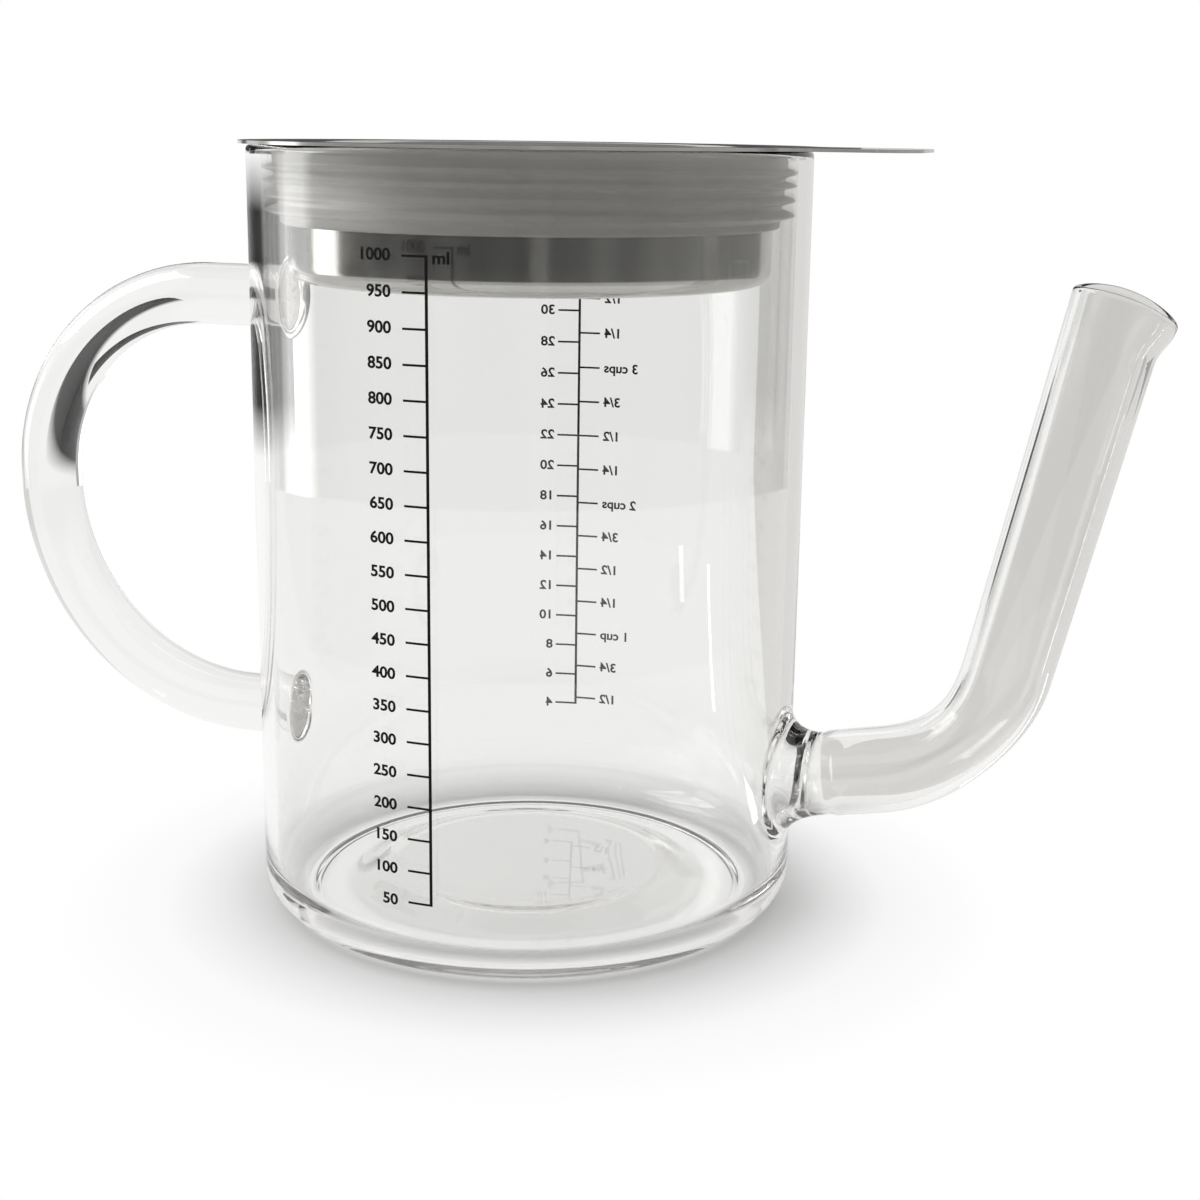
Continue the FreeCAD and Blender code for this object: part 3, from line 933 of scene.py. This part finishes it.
# %% [markdown]
# Moulded silicone: milky and translucent, with a satin skin from the mould. Light goes a few
# millimetres into it, so the steel behind shows through as a grey shade.

# %% Silicone


def milky_silicone():
    material, tree = new_material("milky_silicone")
    place = add(tree, "ShaderNodeTexCoord")
    grain = add(tree, "ShaderNodeTexNoise", Vector=place.outputs["Object"], Scale=900.0, Detail=2.0)
    skin = add(tree, "ShaderNodeBump", Strength=0.15, Distance=0.00005, Height=grain.outputs[0])
    milk = add(tree, "ShaderNodeTexNoise", Vector=place.outputs["Object"], Scale=70.0, Detail=2.0)
    tone = add(tree, "ShaderNodeValToRGB", Fac=milk.outputs[0])
    tone.color_ramp.elements[0].color = linear("#d2d1ce")
    tone.color_ramp.elements[1].color = linear("#e2e1df")
    rubber = add(tree, "ShaderNodeBsdfPrincipled", Base_Color=tone.outputs[0], Roughness=0.38,
                 IOR=1.41, Transmission_Weight=0.55, Normal=skin.outputs[0])
    finish(material, rubber.outputs[0], seal)


milky_silicone()

# %% [markdown]
# The camera stands where the photograph's stood. It was worked out from the jug's outlines, tick
# marks and rims: a long lens a little above the rim, looking slightly down.

# %% Camera
CAMERA_PLACE = (0.12366, -0.35914, 0.15314)
CAMERA_HEADING = -16.854
CAMERA_DOWN = 13.69
CAMERA_ROLL = 0.77
CAMERA_LENS = 58.32


def look_from():
    """The camera's turn: its right, up and back directions as the columns of a matrix."""
    turn, down, roll = (math.radians(value) for value in (CAMERA_HEADING, CAMERA_DOWN, CAMERA_ROLL))
    ahead = np.array([math.sin(turn) * math.cos(down), math.cos(turn) * math.cos(down),
                      -math.sin(down)])
    level = np.array([math.cos(turn), -math.sin(turn), 0])
    above = np.cross(level, ahead)
    right = math.cos(roll) * level + math.sin(roll) * above
    return Matrix(np.stack([right, np.cross(right, ahead), -ahead], -1).tolist()).to_4x4()


camera_data = bpy.data.cameras.new("camera")
camera_data.lens = CAMERA_LENS
camera_data.sensor_width = 36
camera_data.clip_start = 0.01
camera = link("camera", camera_data)
camera.matrix_world = Matrix.Translation(CAMERA_PLACE) @ look_from()
bpy.context.scene.camera = camera

# %% [markdown]
# The studio: a white floor that melts into a white world. Camera, mirrors and glass see that
# white, and all else gets a dimmer light. The cards round the jug show only in reflections and
# through glass. A dark wall in front, soft at top and bottom and with a bright window at its left,
# gives the steel its bands and the glass its edges. Darker cards stand at the left, and grey ones
# at the right behind. The ceiling, a shade at the back and small bright cards on the floor show in
# reflections only. A big soft lamp above lays the shadow, and a small one lights the left.

# %% Studio
WHITE = (1, 1, 1, 1)
FLOOR_COLOUR = "#f6f6f6"
FLOOR_HALF = 6
FADE_REACH = 0.16
# How much the floor glows white, by share of FADE_REACH out from the axis: part white under the
# jug, a painted light that lightens the shadow seen through the glass; none just round the foot,
# where the shadow shows; then all white, as the floor melts into the world.
WHITE_GLOW_SHARES = ((0, 0.6), (0.22, 0.6), (0.24, 0.85), (0.28, 0.85), (0.31, 0.0), (0.345, 0.12),
               (0.39, 0.45), (0.46, 0.82), (0.6, 1.0))
WORLD_LIGHT = 0.32
ROOM = 0.5
WALL_SHADES = ((-180, 3.0), (-167, 3.0), (-164, 0.25), (-154, 0.1), (-146, 0.17), (-138, 0.09),
               (-127, 0.15), (-119, 0.07), (-106, 0.13), (-92, 0.07), (-82, 0.1), (-72, 0.07),
               (-69.5, 0.26), (-68, 0.16), (-66, 0.3), (-63, 0.1), (-48, 0.13), (-40, 0.2),
               (-30, 0.13), (-12, 0.24), (-6, 0.2), (10, 0.3), (26, 0.24), (58, 0.3), (166, 0.4),
               (174, 0.5), (177, 3.0))
FLOOR_SHADES = ((-165, 0.85), (-140, 0.7), (-100, 0.65), (-60, 0.65), (-20, 0.7), (26, 0.8))
GREY_SIDE = 0.74
GREY_WARMTH = (1, 0.985, 0.97)
CARD_COLUMNS = 121
STREAKS = ((1.2, 2.4, 0.2, 0.38, 9.0), (-12, -10, 0.33, 0.42, 5.0), (14, 18, 0.1, 0.2, 5.0))


def show_only_to(thing, *rays):
    """Hides the object from every ray but those named."""
    for ray in ("camera", "diffuse", "glossy", "transmission", "volume_scatter", "shadow"):
        setattr(thing, "visible_" + ray, ray in rays)


def studio_piece(name, points, faces=((0, 1, 2, 3),)):
    """A piece of the studio, in metres: one flat face, or the faces given."""
    mesh = bpy.data.meshes.new(name)
    mesh.from_pydata(points, [], faces)
    piece = link(name, mesh)
    return piece


def seen_white(tree, white, lit):
    """The white for camera, mirror and glass rays, and the lit shader for the rest."""
    path = add(tree, "ShaderNodeLightPath")
    seen = add(tree, "ShaderNodeMath", {"operation": "MAXIMUM"},
               _0=path.outputs["Is Camera Ray"], _1=path.outputs["Is Transmission Ray"])
    seen = add(tree, "ShaderNodeMath", {"operation": "MAXIMUM"}, _0=seen.outputs[0],
               _1=path.outputs["Is Glossy Ray"])
    return add(tree, "ShaderNodeMixShader", _0=seen.outputs[0], _1=lit, _2=white)


def shade_ramp(tree, value, stops):
    """A grey ramp over a value from 0 to 1, with stops of (position, shade)."""
    ramp = add(tree, "ShaderNodeValToRGB", Fac=value)
    while len(ramp.color_ramp.elements) < len(stops):
        ramp.color_ramp.elements.new(0.5)
    for stop, (position, shade) in zip(ramp.color_ramp.elements, stops):
        stop.position = position
        stop.color = (shade, shade, shade, 1)
    return ramp


def white_floor():
    """White paint that keeps the jug's shadow round its foot. Under the jug it glows part white, a
    painted light that lightens the shadow seen through the glass, and further out it melts into the
    white world.
    """
    floor = studio_piece("floor", [(x * FLOOR_HALF, y * FLOOR_HALF, 0)
                                   for x, y in ((-1, -1), (1, -1), (1, 1), (-1, 1))])
    material, tree = new_material("white_floor")
    paint = add(tree, "ShaderNodeBsdfDiffuse", Color=linear(FLOOR_COLOUR))
    place = add(tree, "ShaderNodeTexCoord")
    reach = add(tree, "ShaderNodeVectorMath", {"operation": "LENGTH"}, _0=place.outputs["Object"])
    share = add(tree, "ShaderNodeMapRange", Value=reach.outputs["Value"], From_Max=FADE_REACH)
    # Painted light: the white glow that lightens the floor's shadow under the jug, and whitens the
    # floor further out.
    white_glow = shade_ramp(tree, share.outputs[0], WHITE_GLOW_SHARES)
    white = add(tree, "ShaderNodeEmission", Color=WHITE, Strength=1.0)
    shown = add(tree, "ShaderNodeMixShader", _0=white_glow.outputs[0], _1=paint.outputs[0],
                _2=white.outputs[0])
    both = seen_white(tree, shown.outputs[0], paint.outputs[0])
    finish(material, both.outputs[0], floor)


def white_world():
    """White to look at, and a weaker light for diffuse surfaces."""
    world = bpy.data.worlds.new("studio")
    world.use_nodes = True
    bpy.context.scene.world = world
    tree = world.node_tree
    tree.nodes.clear()
    lit = add(tree, "ShaderNodeBackground", Color=WHITE, Strength=WORLD_LIGHT)
    white = add(tree, "ShaderNodeBackground", Color=WHITE, Strength=1.0)
    both = seen_white(tree, white.outputs[0], lit.outputs[0])
    add(tree, "ShaderNodeOutputWorld", Surface=both.outputs[0])


def round_card(name, start, end, inner, outer, low, high, shades, rays=("glossy", "transmission"),
               soft=0.0):
    """A card bent round the jug between two angles, from the reach inner at the height low to the
    reach outer at the height high. shades pairs angles with how bright it looks there. soft is
    the share of its height over which it melts into white at each end."""
    turn = np.radians(np.linspace(start, end, CARD_COLUMNS))
    edges = [np.stack([reach * np.cos(turn), reach * np.sin(turn), 0 * turn + height], -1)
             for reach, height in ((inner, low), (outer, high))]
    piece = studio_piece(name, np.concatenate(edges),
                         grid_quads(2, CARD_COLUMNS, closed=False).tolist())
    show_only_to(piece, *rays)
    material, tree = new_material(name)
    place = add(tree, "ShaderNodeTexCoord")
    parts = add(tree, "ShaderNodeSeparateXYZ", Vector=place.outputs["Object"])
    angle = add(tree, "ShaderNodeMath", {"operation": "ARCTAN2"}, _0=parts.outputs[1],
                _1=parts.outputs[0])
    share = add(tree, "ShaderNodeMapRange", Value=angle.outputs[0], From_Min=-math.pi,
                From_Max=math.pi)
    stops = [((degrees + 180) / 360, shade) for degrees, shade in shades]
    ramp = shade_ramp(tree, share.outputs[0], stops)
    glow = add(tree, "ShaderNodeEmission", Color=ramp.outputs[0], Strength=1.0)
    if soft:
        rise = add(tree, "ShaderNodeMapRange", Value=parts.outputs[2], From_Min=low, From_Max=high)
        melt = shade_ramp(tree, rise.outputs[0], ((0, 1), (soft, 0), (1 - soft, 0), (1, 1)))
        white = add(tree, "ShaderNodeEmission", Color=WHITE, Strength=1.0)
        glow = add(tree, "ShaderNodeMixShader", _0=melt.outputs[0], _1=glow.outputs[0],
                   _2=white.outputs[0])
    finish(material, glow.outputs[0], piece)


def grey_card(name, corners, shade):
    """A flat card of one plain shade, seen through the glass and in reflections."""
    piece = studio_piece(name, corners)
    show_only_to(piece, "glossy", "transmission")
    material, tree = new_material(name)
    colour = [shade * part for part in GREY_WARMTH] + [1]
    glow = add(tree, "ShaderNodeEmission", Color=colour, Strength=1.0)
    finish(material, glow.outputs[0], piece)


def soft_lamp(name, place, size, power, aim):
    """A rectangular area lamp at this place, turned to the aim."""
    lamp = bpy.data.lights.new(name, "AREA")
    lamp.shape = "RECTANGLE"
    lamp.size, lamp.size_y = size
    lamp.energy = power
    holder = link(name, lamp)
    holder.location = place
    holder.rotation_euler = (Vector(aim) - Vector(place)).to_track_quat("-Z", "Y").to_euler()
    return holder


white_floor()
white_world()
round_card("room_wall", -194, 58, ROOM, ROOM, -0.1, 0.2, WALL_SHADES, soft=0.3)
round_card("ceiling", -180, 180, 0.01, 0.7, 0.9, 0.9, ((-180, 0.3), (180, 0.3)), ("glossy",))
round_card("left_wall", 127, 166, ROOM, ROOM, 0.01, 0.14, ((127, 0.08), (143, 0.02), (166, 0.1)),
           soft=0.18)
round_card("left_strip", 143, 152, ROOM, ROOM, 0.1, 0.6, ((143, 0.02), (152, 0.08)), soft=0.06)
round_card("room_floor", -165, 26, 0.25, ROOM, 0.001, 0.001, FLOOR_SHADES)
round_card("back_shade", 40, 141, ROOM + 0.05, ROOM + 0.05, 0.147, 0.5, ((40, 0.1), (141, 0.1)),
           ("glossy",))
grey_card("grey_floor", [(0.056, 0.05, 0.001), (0.6, 0.05, 0.001), (0.6, 0.51, 0.001),
                         (-0.023, 0.51, 0.001)], GREY_SIDE)
grey_card("grey_wall", [(-0.023, 0.51, 0), (0.6, 0.51, 0), (0.6, 0.51, 0.9), (-0.023, 0.51, 0.9)],
          GREY_SIDE)
for index, (start, end, inner, outer, shade) in enumerate(STREAKS):
    round_card("window_%d" % index, start, end, inner, outer, 0.002, 0.002,
               ((start, shade), (end, shade)), ("glossy",))
soft_lamp("top_lamp", (0.1, -0.2, 1.4), (1.2, 1.2), 6.5, (0, 0, 0.05))
soft_lamp("left_lamp", (-0.5, -0.08, 0.42), (0.3, 0.4), 2.0, (0, 0, 0.1)).data.use_shadow = False

# Light that the glass turns back inside itself needs many turns before it comes out.
scene = bpy.context.scene
scene.view_settings.view_transform = "Standard"
scene.cycles.max_bounces = 32
scene.cycles.glossy_bounces = 24
scene.cycles.transmission_bounces = 32
